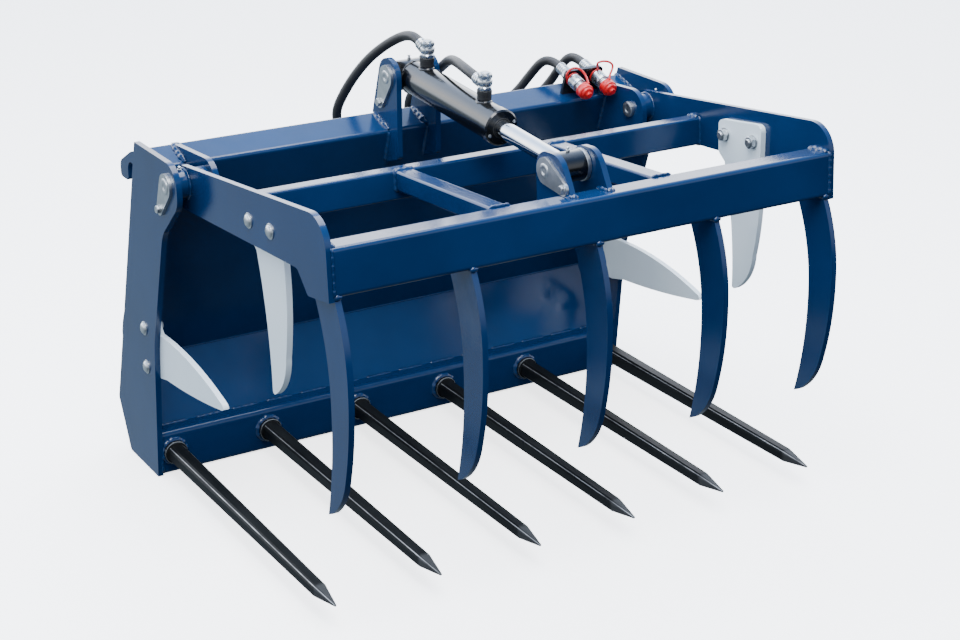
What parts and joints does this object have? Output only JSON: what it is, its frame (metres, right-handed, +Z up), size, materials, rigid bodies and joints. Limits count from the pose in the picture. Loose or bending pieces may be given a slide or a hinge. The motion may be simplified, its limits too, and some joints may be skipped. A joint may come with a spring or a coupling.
{
  "type": "manure grapple",
  "caption": "Loader fork frame with straight lower tines and a curved-tine upper jaw that closes on the load, worked by one hydraulic cylinder.",
  "frame": {"origin": "on the ground face of the bottom beam, under the middle of its section and of the part's width", "axes": "+X to the part's right as seen from behind the tines' tips looking at the frame, front (tine tips) at -Y, +Z up"},
  "size_m": [1.226, 1.0369, 0.9209],
  "materials": {
    "blue_paint": "gloss navy-blue powder coat",
    "grey_paint": "satin light-grey powder coat",
    "black_paint": "gloss black paint",
    "black_steel": "forged steel with black lacquer",
    "zinc": "bright zinc plate",
    "chrome": "hard-chromed and ground rod",
    "red_plastic": "soft red plastic",
    "hose_rubber": "smooth black hydraulic hose cover"
  },
  "bodies": {
    "frame": {"side_plate_left": "blue_paint", "side_plate_right": "blue_paint", "rear_beam": "blue_paint", "bottom_beam": "blue_paint", "back_panel": "blue_paint", "lower_apron": "blue_paint", "hinge_ear_left": "blue_paint", "hinge_ear_right": "blue_paint", "tine_sockets": "black_steel", "tine_nuts": "black_steel", "lower_tine_1": "black_steel", "lower_tine_2": "black_steel", "lower_tine_3": "black_steel", "lower_tine_4": "black_steel", "lower_tine_5": "black_steel", "lower_tine_6": "black_steel", "rear_cylinder_ear_left": "blue_paint", "rear_cylinder_ear_right": "blue_paint", "rear_cylinder_pin": "zinc", "hinge_pins": "zinc", "pin_keepers": "zinc", "keeper_bolts": "zinc", "lower_blade_left": "grey_paint", "lower_blade_right": "grey_paint", "lower_blade_bolts": "zinc", "hitch_bracket_left": "blue_paint", "hitch_bracket_right": "blue_paint", "coupler_holder": "black_paint", "quick_couplers": "zinc", "dust_caps": "red_plastic", "rear_port_hose": "hose_rubber", "front_port_hose": "hose_rubber"},
    "jaw": {"jaw_arm_left": "blue_paint", "jaw_arm_right": "blue_paint", "arm_bushes": "blue_paint", "front_bar": "blue_paint", "mid_bar": "blue_paint", "jaw_strut_left": "blue_paint", "jaw_strut_right": "blue_paint", "upper_tine_1": "blue_paint", "upper_tine_2": "blue_paint", "upper_tine_3": "blue_paint", "upper_tine_4": "blue_paint", "upper_tine_5": "blue_paint", "upper_blade_left": "grey_paint", "upper_blade_right": "grey_paint", "upper_blade_bolts": "zinc", "front_cylinder_ear_left": "blue_paint", "front_cylinder_ear_right": "blue_paint", "front_pin_ends": "zinc", "front_keeper": "zinc", "front_keeper_bolt": "zinc"},
    "barrel": {"barrel": "black_paint", "barrel_eye": "black_paint", "gland": "black_paint", "hose_fittings": "zinc"},
    "rod": {"piston_rod": "chrome", "rod_eye": "black_paint", "piston": "black_steel", "front_pin_core": "zinc"}
  },
  "joints": [
    {"name": "jaw_hinge", "type": "hinge", "parent": "frame", "child": "jaw", "pos_m": [0, -0.21, 0.701], "axis": [-1, 0, 0], "range_deg": [-15, 50]},
    {"name": "barrel_hinge", "type": "hinge", "parent": "frame", "child": "barrel", "pos_m": [0, -0.11065, 0.8262], "axis": [-1, 0, 0], "range_deg": [-13.3, 44.1], "deforming": ["rear_port_hose", "front_port_hose"]},
    {"name": "rod_slide", "type": "slide", "parent": "barrel", "child": "rod", "axis": [0, -0.9972, -0.0742], "range_m": [-0.1172, 0.0353]}
  ],
  "couplings": [
    {"joint": "barrel_hinge", "follows": "jaw_hinge", "ratio": 0.88},
    {"joint": "rod_slide", "follows": "jaw_hinge", "m_per_rad": -0.13407}
  ]
}
